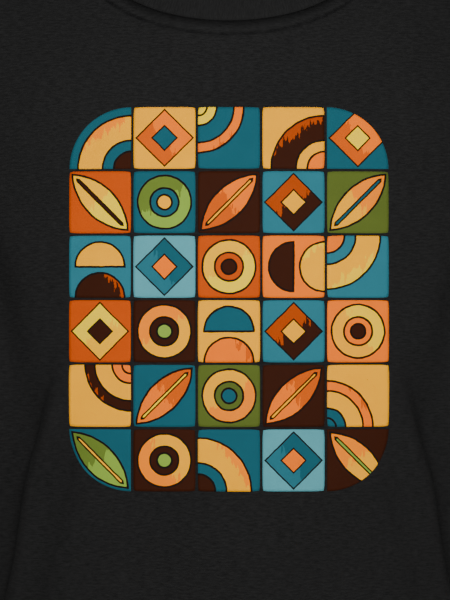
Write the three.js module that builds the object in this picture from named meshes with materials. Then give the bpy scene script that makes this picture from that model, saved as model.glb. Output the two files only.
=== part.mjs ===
// A short-sleeved crew-neck T-shirt in the hollow shape it has when it is worn.
// Millimetres, +Z up, front facing -Y. The origin is midway between the two high shoulder points,
// where the shoulder seams meet the neck rib.

import * as THREE from "three";

// Cloth
const jerseyThickness = 1.0;
const hemDepth = 20; // the band turned up inside at the bottom and at the sleeve ends
const hemThickness = 2.0;
const hemStep = 1.5; // height over which a hem thins to one layer
const seamGap = 0.36; // between two pieces that meet at a seam
const cornerAllowance = 0.6; // share of the gap that each edge draws back, more than half for corners

// Neck, seen from the front: half of an ellipse from one high shoulder point to the other
const neckHalfWidth = 110;
const neckFrontDrop = 76;
const neckFrontRun = 102; // how far the front neck seam lies before the shoulder ridge
const neckLateClimb = 3; // exponent: the seam is level at the centre and climbs near the shoulders
const neckBackDepth = 62; // y of the back neck seam
const ribWidth = 18;
const ribThickness = 2.2;
const ribSeamPinch = 0.55; // thickness at the seam, as a share
const ribCentreDepth = -10; // y of the point that the rib leans towards
const ribLean = { front: 0.4, side: 0.8, back: 0.26 }; // inward run for each millimetre of rise
const tapeWidth = 10;
const tapeThickness = 0.7;
const tapeInset = 1.5; // from the neck seam
const tapeClearance = 2; // from the panel

// Body, as [height, size] pairs
const hemHeight = -690;
const waistHeight = -330; // below this height the cloth hangs in level rings
const bodyHalfWidth = profile([
  [-720, 192], [-690, 191], [-560, 184], [-450, 180], [-330, 182], [-235, 187], [-120, 188], [60, 188],
]);
const bodyFrontDepth = profile([
  [-720, 112], [-690, 112], [-560, 108], [-450, 110], [-330, 116], [-250, 118],
  [-180, 114], [-130, 106], [-80, 94], [0, 66], [60, 44],
]);
const bodyBackDepth = profile([
  [-720, 110], [-690, 110], [-560, 103], [-400, 101], [-250, 112], [-180, 113],
  [-120, 108], [-60, 95], [0, 76], [60, 54],
]);
const bodySquareness = 2.35; // exponent of the oval section: 2 is an ellipse
const sideSeamDepth = 4;

// Shoulders: a ridge that falls away to both sides and bends down to the front and back
const shoulderSlope = THREE.MathUtils.degToRad(22.5);
const shoulderRidgeDepth = 8;
const shoulderFrontBend = 90;
const shoulderBackBend = 120;
const neckBaseRounding = 80;
const shoulderRounding = 46;

// Sleeves
const armStart = new THREE.Vector3(178, 5, -88);
const armAngle = THREE.MathUtils.degToRad(35); // off the vertical
const armDirection = new THREE.Vector3(Math.sin(armAngle), 0, -Math.cos(armAngle));
const sleeveReach = 214; // from the arm start to the hem, along the arm
const sleeveRootRadius = 66;
const sleeveHemRadius = 59;
const armpitRounding = 30;

// Armhole seam on the +X side, from the shoulder point past the turning point to the underarm
const armholeFront = [
  [223, 6, -50], [210, -38, -82], [190, -68, -125], [180, -74, -170], [183, -48, -212], [192, 4, -236],
];
const armholeBack = [
  [223, 6, -50], [214, 50, -82], [197, 82, -125], [187, 86, -170], [187, 56, -212], [192, 4, -236],
];
const turningPoint = 4; // which of the points above ends the upright stretch

// Printed film on the chest
const printWidth = 194;
const printHeight = 232.8;
const printTop = -128;
const printCornerRadius = 38.8;
const printClearance = 0.5;
const printThickness = 0.3;
const printColumns = 10;
const printRows = 10; // in its straight-sided stretch
const printCornerRows = 3;

// Soft folds in the worn cloth
const hemWaveDepth = 4.5;
const hemWaveCount = 7;
const hemWaveTop = -330;
const hemWaveDrift = 90; // height over which a wave turns by one radian
const hemWaveFlatness = 1.6; // how much wider than deep the body is, to space the waves evenly

// Finding the surface
const gradientStep = 0.5;
const settlePasses = 16;
const settleLimit = 40; // longest move in one pass
const outsideReach = 150; // start of the search from the body's middle line
const chestGuess = { depth: 110, flattening: 0.7 };
const curveSteps = 60; // along a seam line before it is divided evenly
const edgeMargin = 1; // height within which a point belongs to an edge or hem band

// Divisions of the cloth
const neckColumns = 8; // from the centre to the high shoulder point
const shoulderColumns = 6;
const underarmColumns = 3;
const skirtRows = 13; // from the hem band to the waist
const waistRows = 5;
const chestRows = 9;
const sleeveRows = 9;
const ribRows = 4;
const tapeRows = 2;

const jersey = { color: 0x1c1c1d, roughness: 0.92, metalness: 0 };
const rib = { color: 0x1e1e1f, roughness: 0.9, metalness: 0 };
const tape = { color: 0x222224, roughness: 0.9, metalness: 0 };
const ink = { color: 0xd98036, roughness: 0.7, metalness: 0 };

// A smooth function of height through [height, value] pairs

function profile(pairs) {
  const slopeAt = (i) => {
    const before = pairs[Math.max(0, i - 1)];
    const after = pairs[Math.min(pairs.length - 1, i + 1)];
    return (after[1] - before[1]) / (after[0] - before[0]);
  };
  return (height) => {
    const h = THREE.MathUtils.clamp(height, pairs[0][0], pairs[pairs.length - 1][0]);
    let i = 0;
    while (i < pairs.length - 2 && h > pairs[i + 1][0]) i += 1;
    const span = pairs[i + 1][0] - pairs[i][0];
    const t = (h - pairs[i][0]) / span;
    const blend = t * t * (3 - 2 * t);
    const value = pairs[i][1] * (1 - blend) + pairs[i + 1][1] * blend;
    const lift = slopeAt(i) * t * (1 - t) * (1 - t) - slopeAt(i + 1) * t * t * (1 - t);
    return value + lift * span;
  };
}

function smoothMax(a, b, rounding) {
  const h = Math.max(rounding - Math.abs(a - b), 0) / rounding;
  return Math.max(a, b) + (h * h * rounding) / 4;
}

function smoothMin(a, b, rounding) {
  return -smoothMax(-a, -b, rounding);
}

// The outer surface of the shirt is where this field is zero; it is negative inside

function bodyField(p) {
  const width = bodyHalfWidth(p.z);
  const depth = p.y < 0 ? bodyFrontDepth(p.z) : bodyBackDepth(p.z);
  const reach = Math.hypot(p.x, p.y);
  const across = Math.pow(Math.abs(p.x) / width, bodySquareness);
  const along = Math.pow(Math.abs(p.y) / depth, bodySquareness);
  return reach - reach / Math.pow(across + along + 1e-9, 1 / bodySquareness);
}

function shoulderField(p) {
  const run = Math.hypot(p.x, neckBaseRounding) - Math.hypot(neckHalfWidth, neckBaseRounding);
  const offRidge = p.y - shoulderRidgeDepth;
  const bend = offRidge < 0 ? shoulderFrontBend : shoulderBackBend;
  const top = -run * Math.tan(shoulderSlope) - (offRidge * offRidge) / (2 * bend);
  return (p.z - top) * Math.cos(shoulderSlope);
}

function armField(p) {
  const reach = new THREE.Vector3(Math.abs(p.x), p.y, p.z).sub(armStart);
  const along = Math.max(0, reach.dot(armDirection));
  reach.addScaledVector(armDirection, -along);
  return reach.length() - sleeveRadius(along);
}

function sleeveRadius(along) {
  return THREE.MathUtils.lerp(sleeveRootRadius, sleeveHemRadius, along / sleeveReach);
}

function shirtField(p) {
  const body = smoothMax(bodyField(p), shoulderField(p), shoulderRounding);
  return smoothMin(body, armField(p), armpitRounding);
}

function fieldGradient(p) {
  const gradient = new THREE.Vector3();
  for (const axis of ["x", "y", "z"]) {
    const ahead = p.clone();
    const behind = p.clone();
    ahead[axis] += gradientStep;
    behind[axis] -= gradientStep;
    gradient[axis] = (shirtField(ahead) - shirtField(behind)) / (2 * gradientStep);
  }
  return gradient;
}

// Moves a point onto the outer surface, by the shortest way or along a given direction

function settle(point, direction = null) {
  const p = point.clone();
  for (let pass = 0; pass < settlePasses; pass += 1) {
    const gradient = fieldGradient(p);
    const way = direction || gradient;
    const limit = settleLimit / way.length();
    const move = THREE.MathUtils.clamp(shirtField(p) / gradient.dot(way), -limit, limit);
    p.addScaledVector(way, -move);
  }
  return p;
}

// How far the soft folds stand out of the plain form at a point

function foldAt(p) {
  const turn = Math.atan2(p.x, -p.y * hemWaveFlatness);
  const fade = THREE.MathUtils.smoothstep(hemWaveTop - p.z, 0, hemWaveTop - hemHeight);
  const beside = Math.abs(p.x) < bodyHalfWidth(p.z) + armpitRounding ? 1 : 0;
  return hemWaveDepth * fade * beside * Math.sin(hemWaveCount * turn + p.z / hemWaveDrift);
}

function draped(p) {
  const normal = fieldGradient(p).normalize();
  return { point: p.clone().addScaledVector(normal, foldAt(p)), normal };
}

// Points at equal or given fractions of the length of a polyline

function resample(points, fractions) {
  const lengths = [0];
  for (let i = 1; i < points.length; i += 1) {
    lengths.push(lengths[i - 1] + points[i].distanceTo(points[i - 1]));
  }
  const total = lengths[lengths.length - 1];
  return fractions.map((fraction) => {
    const target = fraction * total;
    let i = 1;
    while (i < points.length - 1 && lengths[i] < target) i += 1;
    const t = (target - lengths[i - 1]) / (lengths[i] - lengths[i - 1]);
    return points[i - 1].clone().lerp(points[i], t);
  });
}

function evenly(count) {
  return Array.from({ length: count + 1 }, (_, i) => i / count);
}

function mirrored(points) {
  return points.map((p) => new THREE.Vector3(-p.x, p.y, p.z));
}

// The seam lines on the surface, on the +X side. Those across run from the centre outwards.

function neckSeam(facing) {
  const fine = evenly(curveSteps).map((t) => {
    const turn = (t * Math.PI) / 2;
    const x = neckHalfWidth * Math.sin(turn);
    if (facing > 0) {
      const y = THREE.MathUtils.lerp(shoulderRidgeDepth, neckBackDepth, Math.cos(turn));
      return settle(new THREE.Vector3(x, y, 0), new THREE.Vector3(0, 0, 1));
    }
    const y = shoulderRidgeDepth - neckFrontRun * Math.cos(turn);
    const guess = new THREE.Vector3(x, y, -neckFrontDrop * Math.cos(turn));
    return settle(guess, new THREE.Vector3(0, -Math.cos(turn), Math.sin(turn) ** neckLateClimb));
  });
  return resample(fine, evenly(neckColumns));
}

function shoulderSeam() {
  const inner = new THREE.Vector3(neckHalfWidth, shoulderRidgeDepth, 0);
  const outer = new THREE.Vector3(...armholeFront[0]);
  const up = new THREE.Vector3(0, 0, 1);
  return evenly(shoulderColumns).map((t) => settle(inner.clone().lerp(outer, t), up));
}

// Both stretches of the armhole run upwards: from the underarm to the turn, and on to the shoulder

function armholeSeam(facing) {
  const corners = (facing < 0 ? armholeFront : armholeBack).map((c) => new THREE.Vector3(...c)).reverse();
  const curve = new THREE.CatmullRomCurve3(corners, false, "centripetal");
  const turn = 1 - turningPoint / (corners.length - 1);
  const pointAt = (from, to, t) => curve.getPoint(THREE.MathUtils.lerp(from, to, t));
  const stretch = (from, to) => evenly(curveSteps).map((t) => settle(pointAt(from, to, t)));
  const underarm = resample(stretch(0, turn), evenly(underarmColumns));
  const upright = resample(stretch(turn, 1), evenly(chestRows));
  upright[chestRows] = shoulderSeam()[shoulderColumns];
  return { underarm, upright };
}

// Half of a level ring round the body, from the centre to the side seam

function levelRing(facing, height, fractions) {
  const fine = evenly(2 * curveSteps).map((t) => {
    const turn = (t * Math.PI) / 2;
    const start = new THREE.Vector3(0, sideSeamDepth * t, height);
    const way = new THREE.Vector3(Math.sin(turn), facing * Math.cos(turn), 0);
    return settle(start.addScaledVector(way, outsideReach), way);
  });
  return resample(fine, fractions);
}

// The chest line joins the turning points of the two armholes

function chestLine(facing, end, fractions) {
  const fine = evenly(curveSteps).map((t) => {
    const x = end.x * Math.sin((t * Math.PI) / 2);
    const y = facing * chestGuess.depth * Math.sqrt(1 - chestGuess.flattening * t * t);
    return settle(new THREE.Vector3(x, t === 1 ? end.y : y, end.z), new THREE.Vector3(0, 1, 0));
  });
  fine[curveSteps] = end;
  return resample(fine, fractions);
}

// A panel is two patches: from the hem up to the chest line and underarms, and from there up

function panelPatches(facing) {
  const { underarm, upright } = armholeSeam(facing);
  const halfTop = [...neckSeam(facing).slice(0, -1), ...shoulderSeam()];
  const chest = chestLine(facing, upright[0], fractionsOf(halfTop));
  const halfBreak = [...chest, ...underarm.slice(0, -1).reverse()];
  const fractions = fractionsOf(halfBreak);
  const rings = [0, hemDepth, hemDepth + hemStep].map((h) => levelRing(facing, hemHeight + h, fractions));
  const skirtStart = hemHeight + hemDepth + hemStep;
  for (let row = 1; row <= skirtRows; row += 1) {
    const height = THREE.MathUtils.lerp(skirtStart, waistHeight, row / skirtRows);
    rings.push(levelRing(facing, height, fractions));
  }
  const waist = rings[rings.length - 1];
  for (let row = 1; row < waistRows; row += 1) {
    rings.push(waist.map((p, i) => settle(p.clone().lerp(halfBreak[i], row / waistRows))));
  }
  rings.push(halfBreak);
  return [bothSides(rings), bothSides(upperPatch(chest, halfTop, upright))];
}

function upperPatch(chest, halfTop, upright) {
  const widths = fractionsOf(halfTop);
  const heights = fractionsOf(upright);
  const centre = heights.map((v) => chest[0].clone().lerp(halfTop[0], v));
  const last = chest.length - 1;
  return heights.map((v, row) => widths.map((s, column) => {
    if (row === 0) return chest[column];
    if (row === chestRows) return halfTop[column];
    if (column === last) return upright[row];
    const p = chest[column].clone().lerp(halfTop[column], v);
    p.add(centre[row].clone().lerp(upright[row], s));
    p.sub(chest[0].clone().lerp(chest[last], s).lerp(halfTop[0].clone().lerp(halfTop[last], s), v));
    const settled = settle(p);
    return column === 0 ? settled.setX(0) : settled;
  }));
}

function bothSides(half) {
  return half.map((row) => [...mirrored(row.slice(1)).reverse(), ...row]);
}

function fractionsOf(points) {
  const lengths = [0];
  for (let i = 1; i < points.length; i += 1) {
    lengths.push(lengths[i - 1] + points[i].distanceTo(points[i - 1]));
  }
  return lengths.map((length) => length / lengths[points.length - 1]);
}

// One cloth surface from patches that share edges: its points, and its four-sided cells

function weld(patches, closedRound = false) {
  const places = new Map();
  const points = [];
  const cells = [];
  const placeOf = (p) => {
    const key = p.toArray().map((v) => Math.round(v * 1000)).join();
    if (!places.has(key)) {
      places.set(key, points.length);
      points.push(p);
    }
    return places.get(key);
  };
  for (const patch of patches) {
    const grid = patch.map((row) => row.map(placeOf));
    const columns = patch[0].length;
    const spans = closedRound ? columns : columns - 1;
    for (let r = 0; r < patch.length - 1; r += 1) {
      for (let c = 0; c < spans; c += 1) {
        const d = (c + 1) % columns;
        cells.push([grid[r][c], grid[r][d], grid[r + 1][d], grid[r + 1][c]]);
      }
    }
  }
  return { points, cells };
}

// The edges that only one cell has, each in the direction in which that cell runs

function rimOf(cells) {
  const seen = new Set(cells.flatMap((cell) => cell.map((a, i) => `${a},${cell[(i + 1) % 4]}`)));
  const rim = [];
  for (const cell of cells) {
    cell.forEach((a, i) => {
      const b = cell[(i + 1) % 4];
      if (!seen.has(`${b},${a}`)) rim.push([a, b]);
    });
  }
  return rim;
}

// Draws the seam edges back by half of the gap, away from the pieces that they meet

function withGaps(cloth, knots, isFreeEdge) {
  const onRim = new Set(rimOf(cloth.cells).flat());
  const centres = new Map();
  for (const cell of cloth.cells) {
    const middle = cell.reduce((sum, i) => sum.addScaledVector(knots[i].point, 0.25), new THREE.Vector3());
    for (const i of cell) centres.set(i, [...(centres.get(i) || []), middle]);
  }
  return knots.map((knot, i) => {
    if (!onRim.has(i) || isFreeEdge(cloth.points[i])) return knot;
    const around = centres.get(i);
    const mean = around.reduce((sum, c) => sum.addScaledVector(c, 1 / around.length), new THREE.Vector3());
    const way = mean.sub(knot.point).normalize();
    return { ...knot, point: knot.point.clone().addScaledVector(way, cornerAllowance * seamGap) };
  });
}

// Turns a cell so that its first and third corners are the nearer pair

function shortWay([a, b, c, d], knots) {
  const across = knots[a].point.distanceTo(knots[c].point);
  const other = knots[b].point.distanceTo(knots[d].point);
  return across <= other ? [a, b, c, d] : [b, c, d, a];
}

// A closed wall of cloth: an outer face on the cells, an inner face behind it and the rim between

function shell(cloth, knots, thicknessAt, standOff = 0) {
  const count = knots.length;
  const face = (depthAt) => knots.flatMap(({ point, normal }, i) => (
    point.clone().addScaledVector(normal, standOff - depthAt(cloth.points[i])).toArray()));
  const positions = [...face(() => 0), ...face(thicknessAt)];
  const index = [];
  const quad = (a, b, c, d) => index.push(a, b, c, a, c, d);
  for (const cell of cloth.cells) {
    const [a, b, c, d] = shortWay(cell, knots);
    quad(a, b, c, d);
    quad(count + a, count + d, count + c, count + b);
  }
  for (const [a, b] of rimOf(cloth.cells)) quad(b, a, count + a, count + b);
  return outward(positions, index);
}

function outward(positions, index) {
  const corner = (i) => new THREE.Vector3().fromArray(positions, 3 * index[i]);
  let volume = 0;
  for (let i = 0; i < index.length; i += 3) {
    volume += corner(i).dot(corner(i + 1).cross(corner(i + 2))) / 6;
  }
  if (volume < 0) index.reverse();
  const geometry = new THREE.BufferGeometry();
  geometry.setAttribute("position", new THREE.Float32BufferAttribute(positions, 3));
  geometry.setIndex(index);
  geometry.computeVertexNormals();
  return geometry;
}

function piece(name, geometry, finish) {
  const mesh = new THREE.Mesh(geometry, new THREE.MeshStandardMaterial(finish));
  mesh.name = name;
  return mesh;
}

// Front and back panels

function panel(name, facing) {
  const cloth = weld(panelPatches(facing));
  const knots = withGaps(cloth, cloth.points.map(draped), (p) => p.z < hemHeight + edgeMargin);
  const bandTop = hemHeight + hemDepth + edgeMargin;
  const thicknessAt = (p) => (p.z < bandTop ? hemThickness : jerseyThickness);
  return piece(name, shell(cloth, knots, thicknessAt), jersey);
}

// A sleeve runs from the closed armhole seam to a ring round the arm

function sleevePatch() {
  const [front, back] = [-1, 1].map((facing) => {
    const { underarm, upright } = armholeSeam(facing);
    return [...underarm, ...upright.slice(1)].reverse();
  });
  const loop = [...front, ...back.slice(1, -1).reverse()];
  const outwards = new THREE.Vector3(Math.cos(armAngle), 0, Math.sin(armAngle));
  const forwards = new THREE.Vector3(0, -1, 0);
  const ringAt = (along) => loop.map((_, i) => {
    const turn = (2 * Math.PI * i) / loop.length;
    const p = armStart.clone().addScaledVector(armDirection, along);
    p.addScaledVector(outwards, sleeveRadius(along) * Math.cos(turn));
    return p.addScaledVector(forwards, sleeveRadius(along) * Math.sin(turn));
  });
  const bandEdge = ringAt(sleeveReach - hemDepth - hemStep);
  const rows = [loop];
  for (let row = 1; row < sleeveRows; row += 1) {
    rows.push(loop.map((p, i) => settle(p.clone().lerp(bandEdge[i], row / sleeveRows))));
  }
  return [...rows, bandEdge, ringAt(sleeveReach - hemDepth), ringAt(sleeveReach)];
}

function sleeve(name, side) {
  const cloth = weld([sleevePatch()], true);
  const reachOf = (p) => p.clone().sub(armStart).dot(armDirection);
  const knots = withGaps(cloth, cloth.points.map(draped), (p) => reachOf(p) > sleeveReach - edgeMargin);
  for (const knot of knots) {
    knot.point.x *= side;
    knot.normal.x *= side;
  }
  const bandTop = sleeveReach - hemDepth - edgeMargin;
  const thicknessAt = (p) => (reachOf(p) > bandTop ? hemThickness : jerseyThickness);
  return piece(name, shell(cloth, knots, thicknessAt), jersey);
}

// The neck seam all the way round, from the front centre past the +X side and the back

function neckLoop() {
  const front = neckSeam(-1);
  const back = neckSeam(1).reverse();
  const half = [...front, ...back.slice(1)];
  return [...half, ...mirrored(half.slice(1, -1)).reverse()];
}

// The neck rib is a doubled band that starts along the cloth and bends up into its own lean

function neckRib() {
  const loop = neckLoop().map(draped);
  const centre = new THREE.Vector3(0, ribCentreDepth, 0);
  const ring = loop.map(({ point, normal }, i) => {
    const before = loop[(i + loop.length - 1) % loop.length].point;
    const after = loop[(i + 1) % loop.length].point;
    const seamWay = after.clone().sub(before).normalize();
    const along = normal.clone().cross(seamWay).normalize();
    const inward = centre.clone().sub(point).setZ(0).normalize();
    if (along.dot(inward) < 0) along.negate();
    const lean = inward.clone().multiplyScalar(leanAt(inward)).setZ(1).normalize();
    return ribSection(point, normal, along, lean, seamWay);
  });
  return piece("neck_rib", hoop(ring), rib);
}

function leanAt(inward) {
  const ends = inward.y > 0 ? ribLean.front : ribLean.back;
  return THREE.MathUtils.lerp(ribLean.side, ends, inward.y * inward.y);
}

function ribSection(point, normal, along, lean, seamWay) {
  const middle = point.clone().addScaledVector(normal, -jerseyThickness / 2);
  const outerSide = [];
  const innerSide = [];
  middle.addScaledVector(along, seamGap / 2);
  const half = ribThickness / 2;
  const step = (ribWidth - half) / ribRows;
  let face = normal.clone();
  for (let row = 0; row <= ribRows; row += 1) {
    const t = THREE.MathUtils.smoothstep(row / ribRows, 0, 1);
    const rise = along.clone().lerp(lean, t).normalize();
    face = seamWay.clone().cross(rise).normalize();
    if (face.dot(normal) < 0) face.negate();
    const width = row === 0 ? half * ribSeamPinch : half;
    outerSide.push(middle.clone().addScaledVector(face, width));
    innerSide.push(middle.clone().addScaledVector(face, -width));
    if (row < ribRows) middle.addScaledVector(rise, step);
  }
  const fold = middle.clone().addScaledVector(lean, half);
  const diagonal = half * Math.SQRT1_2;
  const shoulders = [1, -1].map((way) => middle.clone()
    .addScaledVector(lean, diagonal).addScaledVector(face, way * diagonal));
  return [...outerSide, shoulders[0], fold, shoulders[1], ...innerSide.reverse()];
}

// Joins equal closed sections, one after another, into a hoop

function hoop(sections) {
  const count = sections[0].length;
  const positions = sections.flat().flatMap((p) => p.toArray());
  const index = [];
  sections.forEach((_, i) => {
    const next = (i + 1) % sections.length;
    for (let k = 0; k < count; k += 1) {
      const l = (k + 1) % count;
      const [a, b, c, d] = [i * count + k, i * count + l, next * count + l, next * count + k];
      index.push(a, b, c, a, c, d);
    }
  });
  return outward(positions, index);
}

// The tape that covers the back neck seam inside, from one high shoulder point to the other

function neckTape() {
  const half = neckSeam(1).slice(0, -1);
  const seam = [...mirrored(half.slice(1)).reverse(), ...half];
  const middle = new THREE.Vector3(0, shoulderRidgeDepth - tapeWidth, 0);
  const rows = evenly(tapeRows).map((t) => seam.map((p) => {
    const away = p.clone().sub(middle).setZ(0).normalize();
    return settle(p.clone().addScaledVector(away, tapeInset + t * tapeWidth));
  }));
  const cloth = weld([rows]);
  const behind = -(jerseyThickness + tapeClearance);
  return piece("neck_tape", shell(cloth, cloth.points.map(draped), () => tapeThickness, behind), tape);
}

// The printed film follows the front of the chest. Each level has a height and a half-width.

function printLevels() {
  const straight = printWidth / 2 - printCornerRadius;
  const centre = printTop - printHeight / 2;
  const upper = printHeight / 2 - printCornerRadius;
  const corner = evenly(printCornerRows).map((t) => {
    const turn = (t * Math.PI) / 2;
    return [upper + printCornerRadius * Math.sin(turn), straight + printCornerRadius * Math.cos(turn)];
  });
  const below = corner.map(([up, half]) => [centre - up, half]).reverse();
  const between = evenly(printRows).slice(1, -1).map((t) => [centre - upper + 2 * upper * t, printWidth / 2]);
  return [...below, ...between, ...corner.map(([up, half]) => [centre + up, half])];
}

function chestPrint() {
  const rows = printLevels().map(([z, half]) => evenly(printColumns).map((u) => (
    settle(new THREE.Vector3((2 * u - 1) * half, -bodyFrontDepth(z), z), new THREE.Vector3(0, 1, 0)))));
  const cloth = weld([rows]);
  const proud = printClearance + printThickness;
  return piece("chest_print", shell(cloth, cloth.points.map(draped), () => printThickness, proud), ink);
}

const shirt = new THREE.Group();
shirt.add(panel("front_panel", -1));
shirt.add(panel("back_panel", 1));
shirt.add(sleeve("left_sleeve", 1));
shirt.add(sleeve("right_sleeve", -1));
shirt.add(neckRib());
shirt.add(neckTape());
shirt.add(chestPrint());

export default shirt;
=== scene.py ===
import math
from functools import partial
import bpy
import numpy as np
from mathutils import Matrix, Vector


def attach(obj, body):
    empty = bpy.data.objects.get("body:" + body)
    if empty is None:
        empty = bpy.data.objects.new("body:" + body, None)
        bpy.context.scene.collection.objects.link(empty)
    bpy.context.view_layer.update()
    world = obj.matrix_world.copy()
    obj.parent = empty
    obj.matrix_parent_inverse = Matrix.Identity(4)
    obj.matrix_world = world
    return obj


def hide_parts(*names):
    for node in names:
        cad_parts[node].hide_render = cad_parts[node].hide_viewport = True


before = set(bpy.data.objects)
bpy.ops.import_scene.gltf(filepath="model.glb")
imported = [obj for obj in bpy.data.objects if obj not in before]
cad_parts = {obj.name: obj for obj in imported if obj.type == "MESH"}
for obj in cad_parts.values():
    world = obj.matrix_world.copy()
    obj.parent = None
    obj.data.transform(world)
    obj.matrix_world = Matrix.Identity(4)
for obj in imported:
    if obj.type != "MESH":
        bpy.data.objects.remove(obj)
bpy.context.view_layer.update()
print("shirt: frame loaded")

# The shirt is worked out in millimetres, in the shape it has when it is worn. +X is its own left,
# -Y the front, and the origin lies midway between the two high shoulder points.
form = {
    "hem": -690, "waist": -330, "hemBand": 20,
    "halfWidth": [(-720, 192), (-690, 191), (-560, 184), (-450, 180), (-330, 182), (-235, 187),
                  (-120, 188), (60, 188)],
    "frontDepth": [(-720, 112), (-690, 112), (-560, 108), (-450, 110), (-330, 116), (-250, 118),
                   (-180, 114), (-130, 106), (-80, 94), (0, 66), (60, 44)],
    "backDepth": [(-720, 110), (-690, 110), (-560, 103), (-400, 101), (-250, 112), (-180, 113),
                  (-120, 108), (-60, 95), (0, 76), (60, 54)],
    "squareness": 2.35, "sideSeamY": 4,
    "neckHalfWidth": 110, "neckDrop": 76, "neckRun": 102, "neckLateClimb": 3, "neckBackY": 62,
    "slope": math.radians(22.5), "ridgeY": 8, "frontBend": 90, "backBend": 120,
    "neckRounding": 80, "shoulderRounding": 46, "armpitRounding": 30,
    "armStart": (178, 5, -88), "armAngle": math.radians(35), "sleeveReach": 214,
    "sleeveRoot": 66, "sleeveHem": 59,
    "armholeFront": [(223, 6, -50), (210, -38, -82), (190, -68, -125), (180, -74, -170),
                     (183, -48, -212), (192, 4, -236)],
    "armholeBack": [(223, 6, -50), (214, 50, -82), (197, 82, -125), (187, 86, -170),
                    (187, 56, -212), (192, 4, -236)],
    "turningPoint": 4,
}
armWay = np.array([math.sin(form["armAngle"]), 0, -math.cos(form["armAngle"])])
armOut = np.array([math.cos(form["armAngle"]), 0, math.sin(form["armAngle"])])
mm = 0.001  # a millimetre in metres


# small helpers

def mix(a, b, t):
    return a * (1 - t) + b * t


def smooth(value, low, high):
    t = np.clip((value - low) / (high - low), 0, 1)
    return t * t * (3 - 2 * t)


def evenly(count):
    return np.linspace(0, 1, count + 1)


def graded(count, fineCount, fineShare):
    # even steps, with finer ones over the last share of the way
    first = evenly(count)[:-1] * (1 - fineShare)
    return np.concatenate([first, 1 - fineShare + evenly(fineCount) * fineShare])


def bell(value, centre, width):
    return np.exp(-((value - centre) / width) ** 2)


def unit(v):
    return v / np.linalg.norm(v, axis=-1, keepdims=True)


def mirrored(points):
    return points * [-1, 1, 1]


def lengthsAlong(points):
    return np.concatenate([[0], np.cumsum(np.linalg.norm(np.diff(points, axis=0), axis=1))])


def fractionsOf(points):
    lengths = lengthsAlong(points)
    return lengths / lengths[-1]


def resample(points, fractions):
    at = fractionsOf(points)
    return np.stack([np.interp(fractions, at, points[:, k]) for k in range(points.shape[1])], -1)


def splineThrough(corners, t):
    # centripetal Catmull-Rom through the corners
    p = np.array(corners, float)
    p = np.vstack([2 * p[0] - p[1], p, 2 * p[-1] - p[-2]])
    spans = len(corners) - 1
    out = []
    for place in np.atleast_1d(t) * spans:
        i = min(int(place), spans - 1)
        w = place - i
        a, b, c, d = p[i:i + 4]
        ab, bc, cd = [np.sum((e - f) ** 2) ** 0.25 for e, f in ((a, b), (b, c), (c, d))]
        start = ((b - a) / ab - (c - a) / (ab + bc) + (c - b) / bc) * bc
        end = ((c - b) / bc - (d - b) / (bc + cd) + (d - c) / cd) * bc
        cubic = (2 * b - 2 * c + start + end) * w ** 3
        out.append(b + start * w + (-3 * b + 3 * c - 2 * start - end) * w ** 2 + cubic)
    return np.array(out)


def profileAt(pairs, height):
    knots, values = np.array(pairs, float).T
    slopes = np.empty_like(values)
    slopes[1:-1] = (values[2:] - values[:-2]) / (knots[2:] - knots[:-2])
    slopes[0] = (values[1] - values[0]) / (knots[1] - knots[0])
    slopes[-1] = (values[-1] - values[-2]) / (knots[-1] - knots[-2])
    h = np.clip(height, knots[0], knots[-1])
    i = np.clip(np.searchsorted(knots, h) - 1, 0, len(knots) - 2)
    span = knots[i + 1] - knots[i]
    t = (h - knots[i]) / span
    blend = t * t * (3 - 2 * t)
    lift = slopes[i] * t * (1 - t) ** 2 - slopes[i + 1] * t * t * (1 - t)
    return values[i] * (1 - blend) + values[i + 1] * blend + lift * span


# The worn form: the outer surface is where shirtField is zero

def smoothMax(a, b, rounding):
    h = np.maximum(rounding - np.abs(a - b), 0) / rounding
    return np.maximum(a, b) + h * h * rounding / 4


def bodyField(p):
    x, y, z = np.abs(p[..., 0]), p[..., 1], p[..., 2]
    width = profileAt(form["halfWidth"], z)
    depth = np.where(y < 0, profileAt(form["frontDepth"], z), profileAt(form["backDepth"], z))
    n = form["squareness"]
    reach = np.hypot(x, y)
    return reach - reach / ((x / width) ** n + (np.abs(y) / depth) ** n + 1e-9) ** (1 / n)


def shoulderField(p):
    rounding = form["neckRounding"]
    run = np.hypot(p[..., 0], rounding) - math.hypot(form["neckHalfWidth"], rounding)
    off = p[..., 1] - form["ridgeY"]
    bend = np.where(off < 0, form["frontBend"], form["backBend"])
    top = -run * math.tan(form["slope"]) - off ** 2 / (2 * bend)
    return (p[..., 2] - top) * math.cos(form["slope"])


def armPlace(p):
    q = np.array(p, float)
    q[..., 0] = np.abs(q[..., 0])
    q = q - np.array(form["armStart"])
    return q @ armWay, q


def sleeveRadius(along):
    return form["sleeveRoot"] + (form["sleeveHem"] - form["sleeveRoot"]) * along / form["sleeveReach"]


def armField(p):
    along, q = armPlace(p)
    along = np.maximum(along, 0)
    return np.linalg.norm(q - along[..., None] * armWay, axis=-1) - sleeveRadius(along)


def shirtField(p):
    body = smoothMax(bodyField(p), shoulderField(p), form["shoulderRounding"])
    return -smoothMax(-body, -armField(p), form["armpitRounding"])


# how points find the surface: rounds of steps, the longest step, the reach of the probes, and
# where rings and chest lines start, in millimetres
settling = {"rounds": 14, "longest": 40, "probe": 0.5, "ringStart": 150, "chestDepth": 110, "chestBend": 0.7}


def gradientAt(p):
    probes = np.eye(3) * settling["probe"]
    return np.stack([shirtField(p + step) - shirtField(p - step) for step in probes], -1)


def normalAt(p):
    return unit(gradientAt(p))


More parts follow.
